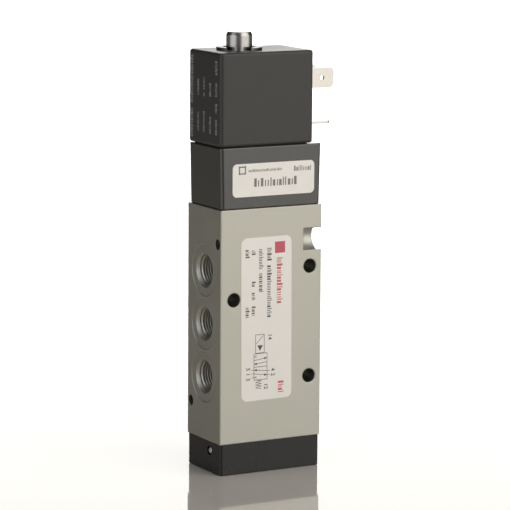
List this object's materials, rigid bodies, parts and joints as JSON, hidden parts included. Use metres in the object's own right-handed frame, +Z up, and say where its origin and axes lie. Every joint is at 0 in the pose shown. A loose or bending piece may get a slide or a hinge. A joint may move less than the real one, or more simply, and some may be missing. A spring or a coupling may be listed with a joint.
{
  "type": "solenoid directional valve",
  "caption": "Slim upright air valve: aluminium spool body with threaded side ports, black end cap, pilot block and moulded coil with flat tab terminals.",
  "frame": {"origin": "centre of the end cap's base face, on the spool axis", "axes": "+Z up along the spool towards the coil, -Y towards the label, +X towards ports 2 and 4 and the coil's terminals"},
  "size_m": [0.0435, 0.0221, 0.1377],
  "materials": {
    "anodised_body": "matt clear anodised",
    "black_cap": "moulded, fine grain",
    "black_pilot": "moulded, satin",
    "black_coil": "moulded, satin",
    "label_film": "silver polyester film",
    "stainless": "turned and polished",
    "black_clip": "black oxide",
    "tinned_tab": "tinned",
    "brass_insert": "turned",
    "vent_disc": "sintered",
    "zinc_steel": "zinc plated",
    "spring_steel": "drawn wire",
    "black_rubber": "moulded nitrile",
    "cage_plastic": "moulded acetal",
    "turned_aluminium": "hard anodised, ground",
    "copper_wire": "enamelled copper wire",
    "override_brass": "nickel free, turned",
    "grey_ink": "printed ink",
    "red_ink": "printed ink",
    "pale_ink": "printed ink"
  },
  "bodies": {
    "valve": {"valve_body": "anodised_body", "end_cap": "black_cap", "end_cap_gasket": "black_rubber", "vent_plug": "vent_disc", "end_cap_screws": "zinc_steel", "port_1_cage": "cage_plastic", "port_2_cage": "cage_plastic", "port_3_cage": "cage_plastic", "port_4_cage": "cage_plastic", "port_5_cage": "cage_plastic", "spool_seal_1": "black_rubber", "spool_seal_2": "black_rubber", "spool_seal_3": "black_rubber", "spool_seal_4": "black_rubber", "spool_seal_5": "black_rubber", "spool_seal_6": "black_rubber", "lower_end_bush": "cage_plastic", "piston_sleeve": "cage_plastic", "return_spring": "spring_steel", "pilot_block": "black_pilot", "pilot_gaskets": "black_rubber", "pilot_nozzle": "brass_insert", "clamp_plate": "zinc_steel", "pilot_screws": "zinc_steel", "override_pin": "zinc_steel", "core_tube": "stainless", "fixed_core": "stainless", "tube_o_ring": "black_rubber", "armature_spring": "spring_steel", "coil_housing": "black_coil", "coil_bobbin": "cage_plastic", "coil_winding": "copper_wire", "coil_yoke": "zinc_steel", "terminal_blade_1": "tinned_tab", "terminal_blade_2": "tinned_tab", "earth_blade": "tinned_tab", "plug_insert": "brass_insert", "coil_base_seal": "black_rubber", "coil_clip": "black_clip", "body_label": "label_film", "pilot_label": "label_film"},
    "spool_set": {"spool": "turned_aluminium", "pilot_piston": "turned_aluminium", "piston_seal": "black_rubber", "spring_seat": "cage_plastic"},
    "armature_set": {"armature": "stainless", "armature_lower_seal": "black_rubber", "armature_upper_seal": "black_rubber"},
    "override": {"override_cam": "override_brass", "override_o_ring": "black_rubber"}
  },
  "joints": [
    {"name": "spool_slide", "type": "slide", "parent": "valve", "child": "spool_set", "axis": [0, 0, -1], "range_m": [0, 0.0035], "stiffness_N_per_m": 1500, "springref_m": -0.006, "deforming": ["return_spring"]},
    {"name": "armature_slide", "type": "slide", "parent": "valve", "child": "armature_set", "axis": [0, 0, 1], "range_m": [0, 0.00075], "stiffness_N_per_m": 700, "springref_m": -0.003, "deforming": ["armature_spring"]},
    {"name": "override_turn", "type": "hinge", "parent": "valve", "child": "override", "pos_m": [0, 0, 0.0922], "axis": [1, 0, 0], "range_deg": [0, 90]}
  ]
}
